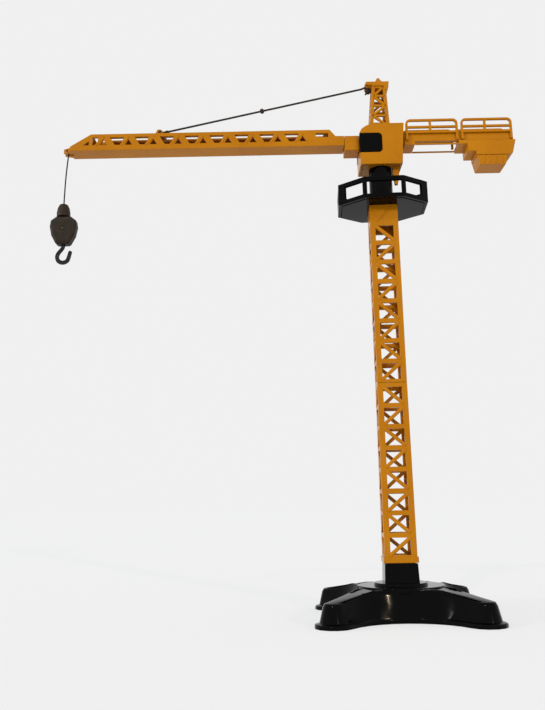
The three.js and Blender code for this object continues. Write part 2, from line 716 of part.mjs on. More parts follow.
function makeJib() {
  const plan = (half) => [[jibEnd, -half], [jibEnd, half], [jibSlopeFootX + 4, half],
    [tipPinX + 0.6, 4.6], [jibTipX, 2.9], [jibTipX, -2.9], [tipPinX + 0.6, -4.6],
    [jibSlopeFootX + 4, -half]];
  const tipBlock = common(
    alongZ(shapeOf(plan(jibHalf)), jibBottom, tipTop),
    box(jibTipX - 1, jibSlopeFootX + 3, -jibHalf, jibHalf, jibBottom, tipTop),
  );
  const slope = shapeOf([[jibSlopeFootX, tipTop - 1.2], [jibSlopeFootX + 3, tipTop - 1.2],
    [jibSlopeTopX + 1.4, jibTop], [jibSlopeTopX, jibTop], [jibSlopeFootX, tipTop]]);
  const bridge = box(guyFoot.x - 6, guyFoot.x + 5, -jibHalf, jibHalf, jibTop - 1.8, jibTop);
  const rootTie = box(jibRootTopX - 4, jibRootTopX, -jibHalf, jibHalf, jibTop - 1.8, jibTop);
  const tongue = box(jibRootFootX, jibEnd, -jibHalf, jibHalf, jibTongueTop - 1.8, jibTongueTop);
  const lug = [[guyFoot.x - 5, jibTop - 1], [guyFoot.x + 3, jibTop - 1], [guyFoot.x + 2, guyFoot.z + 1],
    [guyFoot.x + 0.8, guyFoot.z + 2], [guyFoot.x - 2, guyFoot.z + 2]];
  return cut(
    join(
      cut(join(alongY(jibSide(), -jibHalf, -jibHalf + jibSideWall),
        alongY(jibSide(), jibHalf - jibSideWall, jibHalf)), ...jibWindows()),
      alongZ(shapeOf(plan(jibHalf)), jibBottom, jibFloorTop),
      tipBlock, alongY(slope, -jibHalf, jibHalf), bridge, rootTie, tongue, ...ears(lug),
    ),
    box(jibTipX - 1, tipPinX + 4.6, -forkSlot / 2, forkSlot / 2, jibBottom - 1, tipTop + 1),
    pinAlongY(tipPinX, tipPinZ, tipPinRadius + gap, -6, 6),
    pinAlongY(guyFoot.x, guyFoot.z, guyPinRadius + gap, -5, 5),
  );
}

const makeTipPin = () => pinAlongY(tipPinX, tipPinZ, tipPinRadius, -3.9, 3.9);

// root block between jib and cab, with a spigot into each
function makeRoot() {
  const [x0, x1] = [jibEnd + gap, cabNose - gap];
  const inJib = jibHalf - jibSideWall - gap;
  return join(
    box(x0, x1, -rootHalf, rootHalf, rootBottom, jibTongueTop),
    box(jibRootFootX, x0 + 1, -inJib, inJib, jibFloorTop + gap, jibTongueTop - 1.8 - gap),
    box(x1 - 1, cabNose + wall + 3, -noseHole.y + gap, noseHole.y - gap,
      noseHole.z0 + gap, noseHole.z1 - gap),
  );
}

// ---------- counter-jib ----------

const deckSide = railInset - barSize / 2 - gap; // deck's edge, just inside the hoops
const weightStart = hoops[0].x1 + 0.3;

function makeDeck() {
  const blockHalf = deckSide;
  return join(
    box(deckStart, deckEnd, -deckSide, deckSide, deckBottom, deckBottom + deckThick),
    box(deckStart, deckEnd, -deckSide, -deckSide + wall, skirtBottom, deckBottom + 1),
    box(deckStart, footBlockEnd, -blockHalf, blockHalf, footBlockBottom, deckBottom + 1),
    box(footBlockEnd - 1, weightStart - 1, -0.8, 0.8, deckBottom - keelDepth, deckBottom + 1),
    box(cabBackTop - wall - 4, deckStart + 1, -backHole.y + gap, backHole.y - gap,
      backHole.z0 + gap, backHole.z1 - gap),
  );
}

// hand-rail hoop: two end posts with rounded shoulders, a top bar, a mid bar and a mid post
function makeHoop({ x0, x1, post }, side) {
  const r = 4;
  const shape = new THREE.Shape();
  shape.moveTo(x0, hoopFoot);
  shape.lineTo(x0 + barSize, hoopFoot);
  shape.absarc(x0 + r, railTop - r, r - barSize, Math.PI, Math.PI / 2, true);
  shape.absarc(x1 - r, railTop - r, r - barSize, Math.PI / 2, 0, true);
  shape.lineTo(x1 - barSize, hoopFoot);
  shape.lineTo(x1, hoopFoot);
  shape.absarc(x1 - r, railTop - r, r, 0, Math.PI / 2);
  shape.absarc(x0 + r, railTop - r, r, Math.PI / 2, Math.PI);
  const y = side * railInset;
  const [y0, y1] = [y - barSize / 2, y + barSize / 2];
  return join(
    alongY(shape, y0, y1),
    box(x0 + 0.5, x1 - 0.5, y0, y1, railMid - barSize / 2, railMid + barSize / 2),
    box(post - barSize / 2, post + barSize / 2, y0, y1, deckBottom, railTop - 0.5),
    box(x0 + 0.5, x1 - 0.5, y0, y1, deckBottom, deckBottom + barSize),
  );
}

function makeWeight() {
  const x = (along) => weightStart + along;
  const [step, lower] = [weightTop - 3.2, weightTop - 9.6];
  const outline = shapeOf([[x(0), weightTop], [x(0), step], [x(7), step], [x(7), lower], [x(13.6), lower],
    [x(13.6), ballastTop + gap], [x(40.2), ballastTop + gap], [x(42.8), ballastTop + 1.6],
    [deckEnd + 1.6, weightTop]]);
  return join(
    alongY(outline, -railInset, railInset),
    box(weightStart + 1.5, deckEnd - 1, -deckSide + wall + gap, deckSide, weightTop - 1, deckBottom - gap),
  );
}

function makeBallast() {
  const x = (along) => weightStart + along;
  const bottom = ballastTop - ballastHeight;
  const outline = shapeOf([[x(14), ballastTop], [x(15.8), bottom], [x(36.4), bottom], [x(38.6), ballastTop]]);
  const ribs = [19, 23.8, 28.6, 33.4].map((along) =>
    box(x(along) - 0.7, x(along) + 0.7, -railInset, railInset, bottom + 1, ballastTop));
  return join(alongY(outline, -railInset + 0.35, railInset - 0.35), ...ribs);
}

// thin lower bars from the foot block to the counterweight
const makeBraces = () => [-1, 1].map((side) => {
  const y = side * (deckSide - 0.7);
  return box(footBlockEnd + gap, weightStart - gap, y - 0.7, y + 0.7, footBlockBottom, footBlockBottom + 1);
});

// ---------- hoist ----------

// the thread's route in X and Z, from the tip pin down to the hook block
const ropeRoute = [
  [0, -1.2], [-0.15, -4.1], [-0.35, -7], [-0.58, -9.8], [-0.8, -12.6], [-1, -15.4], [-1.18, -18.2],
  [-1.34, -21], [-1.48, -23.8], [-1.6, -26.6], [-1.7, -29.4], [-1.79, -32.2], [-1.87, -35],
  [-1.94, -37.8], [-2, -40.6], [-2.05, -43.6],
].map(([x, z]) => [tipPinX + x, tipPinZ + z]);

function makeRope() {
  const path = new THREE.CatmullRomCurve3(ropeRoute.map(([x, z]) => new THREE.Vector3(x, 0, z)));
  const section = new THREE.Shape();
  section.absarc(0, 0, ropeDiameter / 2, 0, 2 * Math.PI);
  return new THREE.ExtrudeGeometry(section, { steps: ropeSteps, curveSegments: 4, extrudePath: path });
}

const studRadius = 2;
const studBottom = blockTop - 5;
const capX = ropeRoute.at(-1)[0];

const makeBlockCap = () => {
  const z = (up) => blockTop + up;
  return join(
    turned([[0, z(gap)], [5.2, z(gap)], [5.4, z(3.6)], [4.7, z(7.6)], [3.4, z(10.4)], [1.4, z(11.6)],
      [0, z(11.7)]]),
    disc(studRadius, studBottom, blockTop + 1),
  ).translate(capX, 0, 0);
};

const stemRadius = 1.5;
const headRadius = 2.7;
const headBottom = blockTop - 19.4;
const headHeight = 1.6;

// one half of the hook block's case; side is -1 for the half on the -Y side
function makeBlockShell(side) {
  const outline = (inset) => {
    const half = [[5.6, 0], [10, -3.4], [10.7, -8.4], [9.2, -15.8], [5.9, -22.2], [4.4, -23.5]];
    const k = (10.7 - inset) / 10.7;
    const middle = -11;
    const right = half.map(([x, z]) => [x * k, blockTop + middle + (z - middle) * k]);
    return [...right, ...right.map(([x, z]) => [-x, z]).reverse()];
  };
  const ring = (inset, y) => outline(inset).map(([x, z]) => ({ x: blockX + x, y: y * side, z, u: x, v: z }));
  const half = loft([ring(0, gap / 2), ring(0, 2.8), ring(1.1, 4.4), ring(2.6, blockDepth / 2)]);
  return cut(
    half,
    disc(stemRadius + gap, blockTop - 30, headBottom + 0.1).translate(blockX, 0, 0),
    disc(headRadius + gap, headBottom - gap, headBottom + headHeight + gap).translate(blockX, 0, 0),
    disc(studRadius + gap, studBottom - gap, blockTop + 1).translate(capX, 0, 0),
    pinAlongY(blockX, rivetZ, rivetRadius + gap, -blockDepth, blockDepth),
  );
}

const rivetZ = blockTop - 10.6;
const rivetRadius = 1.5;
const makeRivet = () => pinAlongY(blockX, rivetZ, rivetRadius, -blockDepth / 2, blockDepth / 2);

// J-shaped hook, thickest at the bottom of its bowl, with a captive head on its stem
function makeHook() {
  const bend = [[-0.1, 10.2], [-0.1, 8.4], [-1.4, 6.1], [-3.7, 3.2], [-hookRadius, 0], [-3.4, -3.3],
    [0, -hookRadius], [3.4, -3.3], [hookRadius, 0], [5.3, 2.5], [5.9, 4.9]];
  const curve = new THREE.CatmullRomCurve3(bend.map(([x, z]) =>
    new THREE.Vector3(hookCentre.x + x, 0, hookCentre.z + z)));
  const stemFoot = blockTop - 24.4;
  const points = curve.getPoints(30).map((p) => [p.x, p.z]);
  const radiusAt = (t) => (t > 0.97 ? 0.9 : hookThick - 0.45 * Math.abs(t - 0.55));
  return join(
    sweptTube(points, radiusAt, 10),
    turned([[0, stemFoot], [stemRadius, stemFoot], [stemRadius, headBottom], [headRadius, headBottom],
      [headRadius, headBottom + headHeight], [0, headBottom + headHeight]], 16).translate(blockX, 0, 0),
  );
}

// ---------- the crane ----------

const crane = new THREE.Group();
const upper = new THREE.Group();
upper.rotation.z = restSlew;
crane.add(upper);

function add(group, name, geometry, material) {
  const mesh = new THREE.Mesh(join(geometry), material);
  mesh.name = name;
  group.add(mesh);
}

add(crane, 'base_shell', makeBase(), glossBlack);
add(crane, 'mast_lower', makeMastLower(), yellow);
add(crane, 'mast_upper', makeMastUpper(), yellow);
add(crane, 'gallery_floor', makeGalleryFloor(), glossBlack);
add(crane, 'gallery_rail', makeGalleryRail(), glossBlack);

add(upper, 'slew_pin', makeSlewPin(), glossBlack);
add(upper, 'cab_body', makeCab(), yellow);
add(upper, 'cab_floor', makeCabFloor(), yellow);
add(upper, 'cab_window_near', makeWindow(), glass);
add(upper, 'cab_window_far', mirroredY(makeWindow()), glass);
add(upper, 'tower_head', makeHead(), yellow);
add(upper, 'head_cap', makeCap(), yellow);
add(upper, 'guy_head_pin', makeGuyPin(guyHead), steel);
add(upper, 'guy_line', makeGuy(), thread);
add(upper, 'guy_bead', makeBead(), thread);
add(upper, 'guy_jib_pin', makeGuyPin(guyFoot), steel);
add(upper, 'jib_root', makeRoot(), yellow);
add(upper, 'jib', makeJib(), yellow);
add(upper, 'jib_tip_pin', makeTipPin(), steel);
add(upper, 'counter_deck', makeDeck(), yellow);
hoops.forEach((hoop, k) => {
  const place = ['inner', 'outer'][k];
  add(upper, `rail_near_${place}`, makeHoop(hoop, -1), yellow);
  add(upper, `rail_far_${place}`, makeHoop(hoop, 1), yellow);
});
add(upper, 'counterweight', makeWeight(), yellow);
add(upper, 'ballast_block', makeBallast(), yellow);
makeBraces().forEach((bar, k) => add(upper, `counter_brace_${['near', 'far'][k]}`, bar, yellow));

add(upper, 'hoist_rope', makeRope(), thread);
add(upper, 'block_cap', makeBlockCap(), blockBrown);
add(upper, 'block_shell_near', makeBlockShell(-1), blockBrown);
add(upper, 'block_shell_far', makeBlockShell(1), blockBrown);
add(upper, 'block_rivet', makeRivet(), steel);
add(upper, 'hook', makeHook(), blockBrown);

export default crane;
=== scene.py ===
"""Toy tower crane: looks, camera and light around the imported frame. Metres, +Z up."""

import json
import math

import bmesh
import bpy
from mathutils import Matrix, Vector


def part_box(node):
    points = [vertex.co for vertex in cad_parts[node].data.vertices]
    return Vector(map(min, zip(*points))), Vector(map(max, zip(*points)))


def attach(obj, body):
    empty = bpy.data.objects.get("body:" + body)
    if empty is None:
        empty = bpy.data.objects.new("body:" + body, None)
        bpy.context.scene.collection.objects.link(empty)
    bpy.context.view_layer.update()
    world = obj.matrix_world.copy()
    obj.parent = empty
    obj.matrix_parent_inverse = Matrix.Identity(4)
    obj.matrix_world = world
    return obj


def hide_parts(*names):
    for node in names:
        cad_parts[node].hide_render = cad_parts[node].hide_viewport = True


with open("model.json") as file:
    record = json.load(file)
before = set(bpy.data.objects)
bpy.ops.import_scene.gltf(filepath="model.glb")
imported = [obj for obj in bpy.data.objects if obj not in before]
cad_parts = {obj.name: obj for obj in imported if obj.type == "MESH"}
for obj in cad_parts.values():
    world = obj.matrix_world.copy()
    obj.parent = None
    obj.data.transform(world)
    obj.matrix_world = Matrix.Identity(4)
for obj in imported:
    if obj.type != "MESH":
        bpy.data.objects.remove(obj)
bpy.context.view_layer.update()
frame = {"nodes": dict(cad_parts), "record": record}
nodes = frame["nodes"]
MM = 0.001


# ---------- camera ----------

LENS_MM = 38.17  # on the sensor's long side
CAMERA_AT = (-0.05737, -0.57288, 0.07659)
CAMERA_YAW, CAMERA_PITCH, CAMERA_ROLL = 0.0573, 0.2036, 0.0182  # radians


def add_camera():
    data = bpy.data.cameras.new("camera")
    data.sensor_width = 36
    data.lens = LENS_MM
    data.clip_start = 0.01
    camera = bpy.data.objects.new("camera", data)
    bpy.context.scene.collection.objects.link(camera)
    camera.matrix_world = (
        Matrix.Translation(CAMERA_AT)
        @ Matrix.Rotation(CAMERA_YAW, 4, "Z")
        @ Matrix.Rotation(CAMERA_PITCH, 4, "X")
        @ Matrix.Rotation(CAMERA_ROLL, 4, "Y")
        @ Matrix.Rotation(math.pi / 2, 4, "X")
    )
    bpy.context.scene.camera = camera


add_camera()


# ---------- node graph helpers ----------


class Graph:
    """A material's node tree, written as chained calls."""

    def __init__(self, name):
        self.material = bpy.data.materials.new(name)
        self.material.use_nodes = True
        self.tree = self.material.node_tree
        self.shader = self.tree.nodes["Principled BSDF"]

    def node(self, kind, inputs=None, **settings):
        made = self.tree.nodes.new("ShaderNode" + kind)
        for key, value in settings.items():
            setattr(made, key, value)
        for key, value in (inputs or {}).items():
            self.feed(made, key, value)
        return made

    def feed(self, node, key, value):
        if isinstance(value, bpy.types.NodeSocket):
            self.tree.links.new(value, node.inputs[key])
        else:
            node.inputs[key].default_value = value

    def place(self):
        return self.node("TexCoord").outputs["Object"]

    def noise(self, scale, detail=3.0, roughness=0.5, stretch=(1, 1, 1)):
        where = self.node("Mapping", {"Vector": self.place(), "Scale": stretch}).outputs[0]
        inputs = {"Vector": where, "Scale": scale, "Detail": detail, "Roughness": roughness}
        return self.node("TexNoise", inputs).outputs[0]

    def span(self, value, low, high, to_low, to_high):
        inputs = {0: value, 1: low, 2: high, 3: to_low, 4: to_high}
        return self.node("MapRange", inputs).outputs[0]

    def mix(self, share, first, second):
        inputs = {0: share, 6: first, 7: second}
        return self.node("Mix", inputs, data_type="RGBA").outputs[2]

    def bump(self, height, strength, distance, normal=None):
        inputs = {"Height": height, "Strength": strength, "Distance": distance}
        if normal is not None:
            inputs["Normal"] = normal
        return self.node("Bump", inputs).outputs[0]

    def soft_edge(self, radius):
        return self.node("Bevel", {"Radius": radius}, samples=6).outputs[0]

    def set(self, **values):
        for key, value in values.items():
            self.feed(self.shader, key.replace("_", " "), value)
        return self.material


def colour(r, g, b):
    return (r, g, b, 1.0)


# ---------- materials ----------


def moulded_plastic(name, base, deep, roughness, edge):
    """Injection-moulded plastic: slow colour drift, faint flow marks, fine grain, rounded edges."""
    g = Graph(name)
    drift = g.span(g.noise(26, 4), 0.35, 0.65, 0.0, 1.0)
    tone = g.mix(drift, base, deep)
    flow = g.noise(70, 5, 0.6, stretch=(1, 1, 0.25))
    grime = g.span(g.noise(330, 6, 0.7), 0.52, 0.75, 0.0, 0.35)
    tone = g.mix(grime, tone, colour(*(0.72 * c for c in deep[:3])))
    grain = g.noise(2600, 2)
    edge_normal = g.soft_edge(edge)
    wavy = g.bump(flow, 0.25, 0.0006, edge_normal)
    fine = g.bump(grain, 0.12, 0.00012, wavy)
    rough = g.span(flow, 0.3, 0.7, roughness - 0.05, roughness + 0.07)
    return g.set(Base_Color=tone, Roughness=rough, Normal=fine, Specular_IOR_Level=0.10)


def gloss_black_plastic(name, settled):
    """Polished black polystyrene with faint hairline scratches and a little settled dust."""
    g = Graph(name)
    dust = g.span(g.noise(900, 6, 0.75), 0.6, 0.8, 0.0, settled)
    tone = g.mix(dust, colour(0.0010, 0.0011, 0.0013), colour(0.04, 0.04, 0.042))
    hairline = g.noise(1500, 2, 0.5, stretch=(0.06, 1, 1))
    ripple = g.bump(g.noise(45, 3), 0.18, 0.0008, g.soft_edge(0.0006))
    fine = g.bump(hairline, 0.05, 0.00006, ripple)
    rough = g.span(g.noise(120, 4), 0.3, 0.75, 0.06, 0.16)
    return g.set(Base_Color=tone, Roughness=rough, Normal=fine, Specular_IOR_Level=0.065)


def block_plastic():
    """Dark brown-black plastic with a dull, lightly grained face."""
    g = Graph("block_dark")
    tone = g.mix(g.span(g.noise(180, 5, 0.6), 0.35, 0.7, 0, 1),
                 colour(0.014, 0.009, 0.006), colour(0.030, 0.019, 0.0115))
    grain = g.bump(g.noise(1900, 3), 0.3, 0.0001, g.soft_edge(0.0005))
    rough = g.span(g.noise(240, 4), 0.3, 0.7, 0.38, 0.55)
    return g.set(Base_Color=tone, Roughness=rough, Normal=grain, Specular_IOR_Level=0.2)


def thread_fibre():
    """Dark brown twisted thread, finely fibrous."""
    g = Graph("thread_fibre")
    tone = g.mix(g.noise(2600, 4, 0.7), colour(0.006, 0.0035, 0.0025), colour(0.024, 0.013, 0.009))
    fibre = g.bump(g.noise(5200, 3, 0.6, stretch=(1, 1, 0.2)), 0.5, 0.00008)
    return g.set(Base_Color=tone, Roughness=0.85, Normal=fibre, Sheen_Weight=0.15)


def gloss_hook():
    """The hook's black plastic, smoother than the block's."""
    g = Graph("hook_black")
    ripple = g.bump(g.noise(160, 3), 0.15, 0.0003, g.soft_edge(0.0004))
    tone = g.mix(g.noise(300, 4), colour(0.004, 0.003, 0.0025), colour(0.012, 0.009, 0.007))
    rough = g.span(g.noise(240, 4), 0.3, 0.7, 0.14, 0.24)
    return g.set(Base_Color=tone, Roughness=rough, Normal=ripple, Specular_IOR_Level=0.3)


def pin_steel():
    """Dark turned steel pin, dulled along its length."""
    g = Graph("pin_steel")
    rings = g.noise(900, 3, 0.5, stretch=(1, 6, 1))
    tone = g.mix(rings, colour(0.030, 0.022, 0.016), colour(0.075, 0.058, 0.042))
    return g.set(Base_Color=tone, Metallic=1.0, Roughness=g.span(rings, 0.3, 0.7, 0.3, 0.45),
                 Normal=g.bump(rings, 0.2, 0.00005))


YELLOW = moulded_plastic("crane_yellow", base=colour(0.530, 0.204, 0.0040),
                         deep=colour(0.460, 0.168, 0.003), roughness=0.22, edge=0.0003)
BY_SLOT = {
    "yellow_plastic": YELLOW,
    "black_plastic": gloss_black_plastic("gloss_black", 0.05),
    "window_plastic": gloss_black_plastic("window_black", 0.02),
    "block_plastic": block_plastic(),
    "thread": thread_fibre(),
    "steel": pin_steel(),
}


def dress(obj, material):
    obj.data.materials.clear()
    obj.data.materials.append(material)


for part in frame["record"]["subparts"]:
    dress(nodes[part["node"]], BY_SLOT[part["material_slot"]])


# ---------- softened skins for the rigid pieces ----------

WELD = 1e-6
FLAT = math.radians(0.6)  # faces that differ less are one flat face
CREASE = math.radians(28)  # edges sharper than this are rounded
SHADED_SHARP = math.radians(35)  # and edges sharper than this stay sharp in the shading
BODIES = frame["record"]["behaviour"]["bodies"]
BODY_OF = {node: body for body, members in BODIES.items() for node in members}
SLOT_OF = {part["node"]: part["material_slot"] for part in frame["record"]["subparts"]}


def rounded(made, edges, radius):
    bmesh.ops.bevel(made, geom=edges, offset=radius, segments=2, profile=0.6,
                    affect="EDGES", clamp_overlap=True)


def softened(node, radius, material=None):
    """The node's own shape with its creases rounded and its curved faces shaded smooth."""
    made = bmesh.new()
    made.from_mesh(nodes[node].data)
    bmesh.ops.remove_doubles(made, verts=made.verts, dist=WELD)
    bmesh.ops.dissolve_limit(made, angle_limit=FLAT, verts=made.verts, edges=made.edges)
    sharp = [e for e in made.edges if len(e.link_faces) == 2 and e.calc_face_angle(0) > CREASE]
    rounded(made, sharp, radius)
    mesh = bpy.data.meshes.new(node + "_skin")
    made.to_mesh(mesh)
    made.free()
    for face in mesh.polygons:
        face.use_smooth = True
    mesh.set_sharp_from_angle(angle=SHADED_SHARP)
    skin = bpy.data.objects.new(node + "_skin", mesh)
    bpy.context.scene.collection.objects.link(skin)
    skin.modifiers.new("even", "WEIGHTED_NORMAL").keep_sharp = True
    dress(skin, material or BY_SLOT[SLOT_OF[node]])
    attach(skin, BODY_OF[node])
    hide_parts(node)


# tower_head and head_cap have finer pieces of their own, further down
SOFT_EDGES = {
    "base_shell": 0.7, "mast_lower": 0.5, "mast_upper": 0.5, "gallery_floor": 0.4,
    "gallery_rail": 0.5, "slew_pin": 0.3, "cab_body": 1.0, "cab_floor": 0.3,
    "cab_window_near": 0.3, "cab_window_far": 0.3,
    "jib_root": 0.5, "jib": 0.3, "counter_deck": 0.3, "rail_near_inner": 0.45,
    "rail_far_inner": 0.45, "rail_near_outer": 0.45, "rail_far_outer": 0.45, "counterweight": 0.5,
    "ballast_block": 0.5, "counter_brace_near": 0.25, "counter_brace_far": 0.25,
    "guy_bead": 0.25, "block_cap": 0.4, "block_shell_near": 0.5, "block_shell_far": 0.5,
    "hook": 0.3,
}
OWN_LOOK = {"hook": gloss_hook()}
for node_name, soft in SOFT_EDGES.items():
    softened(node_name, soft * MM, OWN_LOOK.get(node_name))


# ---------- pieces ----------


def skin_rings(made, rings):
    """Closed skin over rings of as many vertices, with both ends capped."""
    for low, high in zip(rings, rings[1:]):
        for k in range(len(low)):
            n = (k + 1) % len(low)
            made.faces.new((low[k], low[n], high[n], high[k]))
    made.faces.new(rings[0][::-1])
    made.faces.new(rings[-1])


def link_mesh(name, mesh_data, material, body):
    """Puts a bmesh in the scene as a piece that rides on a body."""
    mesh = bpy.data.meshes.new(name)
    mesh_data.to_mesh(mesh)
    mesh_data.free()
    obj = bpy.data.objects.new(name, mesh)
    bpy.context.scene.collection.objects.link(obj)
    dress(obj, material)
    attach(obj, body)
    return obj


def smooth_route(points, count):
    """Catmull-Rom points, evenly many between each two of a route's points."""
    padded = [points[0] * 2 - points[1], *points, points[-1] * 2 - points[-2]]
    route = []
    for a, b, c, d in zip(padded, padded[1:], padded[2:], padded[3:]):
        for step in range(count):
            t = step / count
            route.append(0.5 * (2 * b + (c - a) * t + (2 * a - 5 * b + 4 * c - d) * t * t
                                + (3 * b - a - 3 * c + d) * t ** 3))
    return [*route, points[-1]]


def twisted_thread(route, radius, twist_length, strands=3, sides=18):
    """A mesh tube whose lobed section turns along the route, as plied thread does."""
    made = bmesh.new()
    rings = []
    travelled = 0.0
    for i, at in enumerate(route):
        ahead = route[min(i + 1, len(route) - 1)] - route[max(i - 1, 0)]
        along = ahead.normalized()
        across = along.cross(Vector((0, 1, 0))).normalized()
        side = along.cross(across)
        if i:
            travelled += (at - route[i - 1]).length
        turn = 2 * math.pi * travelled / twist_length
        ring = []
        for k in range(sides):
            a = 2 * math.pi * k / sides
            lobed = radius * (0.94 + 0.06 * abs(math.cos(strands * (a - turn) / 2)))
            spoke = across * math.cos(a) + side * math.sin(a)
            ring.append(made.verts.new(at + spoke * lobed))
        rings.append(ring)
    skin_rings(made, rings)
    bmesh.ops.recalc_face_normals(made, faces=made.faces)
    for face in made.faces:
        face.smooth = True
    return made


REST_SLEW = Matrix.Rotation(0.0535, 4, "Z")  # the upper works' turn at rest


def upper_point(x, z, y=0.0):
    """A point of the upper works, given in millimetres along and above the mast."""
    return REST_SLEW @ Vector((x * MM, y * MM, z * MM))


ROPE_ROUTE = [
    (-254.0, 364.8), (-254.15, 361.9), (-254.35, 359.0), (-254.58, 356.2), (-254.8, 353.4),
    (-255.0, 350.6), (-255.18, 347.8), (-255.34, 345.0), (-255.48, 342.2), (-255.6, 339.4),
    (-255.7, 336.6), (-255.79, 333.8), (-255.87, 331.0), (-255.94, 328.2), (-256.0, 325.4),
    (-256.05, 322.4),
]
ROPE_DIAMETER = 1.1 * MM


def add_hoist_rope():
    route = smooth_route([upper_point(x, z) for x, z in ROPE_ROUTE], 8)
    rope = link_mesh("hoist_thread", twisted_thread(route, ROPE_DIAMETER / 2, 2.4 * MM),
                     BY_SLOT["thread"], "hoist")
    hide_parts("hoist_rope")


add_hoist_rope()


# ---------- guy thread ----------

GUY_DIAMETER = 1.6 * MM
GUY_PIN_CLEAR = 1.3 * MM  # from a pin's axis to the thread's end
GUY_BEND = (-4.2, -2.1)  # millimetres along and above the head's pin
BEND_SIZE = 1.6 * MM
LOOP_THREAD = 0.42 * MM  # radius of the thread in the end loops and the jib's knot
HEAD_KNOT_THREAD = 0.72 * MM  # and in the doubled knot under the head's cap


def centre_of(node):
    low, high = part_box(node)
    return (Vector(low) + Vector(high)) / 2


def add_loop(name, pin, knot):
    """The thread's end loop: round the pin and back to the knot."""
    along = (pin - knot).normalized()
    up = along.cross(REST_SLEW @ Vector((0, 1, 0)))
    turn_radius = 1.5 * MM
    route = [knot + up * 0.35 * MM]
    for i in range(13):
        a = math.pi * (i / 12 - 0.5)
        route.append(pin + along * turn_radius * math.cos(a) - up * turn_radius * math.sin(a))
    route.append(knot - up * 0.35 * MM)
    link_mesh(name, twisted_thread(smooth_route(route, 3), LOOP_THREAD, 1.6 * MM),
              BY_SLOT["thread"], "crown")


def add_knot(name, at, along, thread, turns=3.5, tail=None):
    """A wrapped knot: close turns of the thread's own end, fuller in the middle, and its tail."""
    across = REST_SLEW @ Vector((0, 1, 0))
    up = along.cross(across)
    length = turns * 2.1 * thread
    steps = int(turns * 14)
    route = []
    for i in range(steps + 1):
        share = i / steps
        a = 2 * math.pi * turns * share
        radius = thread * (1.5 + 0.9 * math.sin(math.pi * share))
        route.append(at + along * length * (share - 0.5)
                     + across * radius * math.cos(a) + up * radius * math.sin(a))
    if tail is not None:
        route += [route[-1].lerp(tail, t) for t in (0.35, 0.7, 1)]
    tube = twisted_thread(route, thread, 3.8 * thread)
    link_mesh(name, tube, BY_SLOT["thread"], "crown")


def add_guy():
    head, foot = centre_of("guy_head_pin"), centre_of("guy_jib_pin")
    bend = head + upper_point(*GUY_BEND)
    start = head + (bend - head).normalized() * GUY_PIN_CLEAR
    end = foot + (bend - foot).normalized() * GUY_PIN_CLEAR
    leaving = bend + (end - bend).normalized() * BEND_SIZE
    arriving = bend + (start - bend).normalized() * BEND_SIZE
    corner = [arriving.lerp(bend, t).lerp(bend.lerp(leaving, t), t)
              for t in (0, 0.25, 0.5, 0.75, 1)]
    run = [leaving.lerp(end, i / 60) for i in range(1, 61)]
    route = [start, *corner, *run]
    line = link_mesh("guy_thread", twisted_thread(route, GUY_DIAMETER / 2, 3.2 * MM),
                     BY_SLOT["thread"], "crown")
    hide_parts("guy_line")
    away = (end - bend).normalized()
    under = head + upper_point(0.9, -4.2)
    add_loop("guy_head_loop", head, under)
    add_knot("guy_head_knot", under, upper_point(-0.35, -0.94).normalized(), HEAD_KNOT_THREAD,
             turns=2.5, tail=head + upper_point(-1.6, -7.4))
    add_loop("guy_jib_loop", foot, end - away * 3.4 * MM)
    add_knot("guy_jib_knot", end - away * 4.2 * MM, away, LOOP_THREAD)


add_guy()


# ---------- rounded braces ----------

MAST_HALF = 11.0
MAST_FLARE = 0.65  # half-width that the lower section gains down to its foot
WINDOW_HALF, WINDOW_HEIGHT, PANELS = 7.0, 12.2, 8
BRACE_HALF, BRACE_PROUD = 1.35, 0.5
JIB_WIDTH, JIB_HEIGHT, JIB_BAYS = 15.1, 13.9, 8
JIB_WINDOW = (4.3, 11.1)  # foot and top of the jib's windows, above its underside
FIRST_TRIANGLE, BAY_PITCH = -223.9, 20.2
# how high a rod stands at shares of its length
ROD_ENDS = ((0, 0.05), (0.03, 0.6), (0.08, 1), (0.92, 1), (0.97, 0.6), (1, 0.05))


def add_rod(made, a, b, out, half, proud, deep=0.5 * MM):
    """A half-round bar from a to b, standing out of the flat face whose normal is out."""
    across = (b - a).normalized().cross(out)
    rings = []
    for share, rise in ROD_ENDS:
        middle = a.lerp(b, share)
        ring = [middle + across * half * math.cos(t) + out * proud * rise * math.sin(t)
                for t in (math.pi * i / 8 for i in range(9))]
        sunk = out * deep
        ring += [middle - across * half - sunk, middle + across * half - sunk]
        rings.append([made.verts.new(p) for p in ring])
    skin_rings(made, rings)


def finish_rods(name, made, body):
    bmesh.ops.recalc_face_normals(made, faces=made.faces)
    for face in made.faces:
        face.smooth = len(face.verts) == 4
    link_mesh(name, made, YELLOW, body)


def add_mast_rods(node, length, top_band, foot_band, flare):
    """Rods along each panel's brace, on the mast section's four sides."""
    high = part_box(node)[1][2] / MM
    made = bmesh.new()
    pitch = (length - top_band - foot_band - WINDOW_HEIGHT) / (PANELS - 1)
    for k in range(PANELS):
        top = high - top_band - k * pitch
        for axis, side, lean in ((1, -1, -1), (1, 1, 1), (0, -1, -1), (0, 1, 1)):
            s = lean if k % 2 == 0 else -lean
            ends = []
            for u, z in ((-s * (WINDOW_HALF + 0.6), top - WINDOW_HEIGHT - 0.6),
                         (s * (WINDOW_HALF + 0.6), top + 0.6)):
                grow = 1 + flare / MAST_HALF * (high - z) / length
                place = [0.0, 0.0, z]
                place[axis] = side * MAST_HALF * grow
                place[1 - axis] = u * grow
                ends.append(Vector(place) * MM)
            out = Vector([side if i == axis else 0 for i in range(3)])
            add_rod(made, *ends, out, BRACE_HALF * MM, BRACE_PROUD * MM)
    finish_rods(node + "_rods", made, "tower")


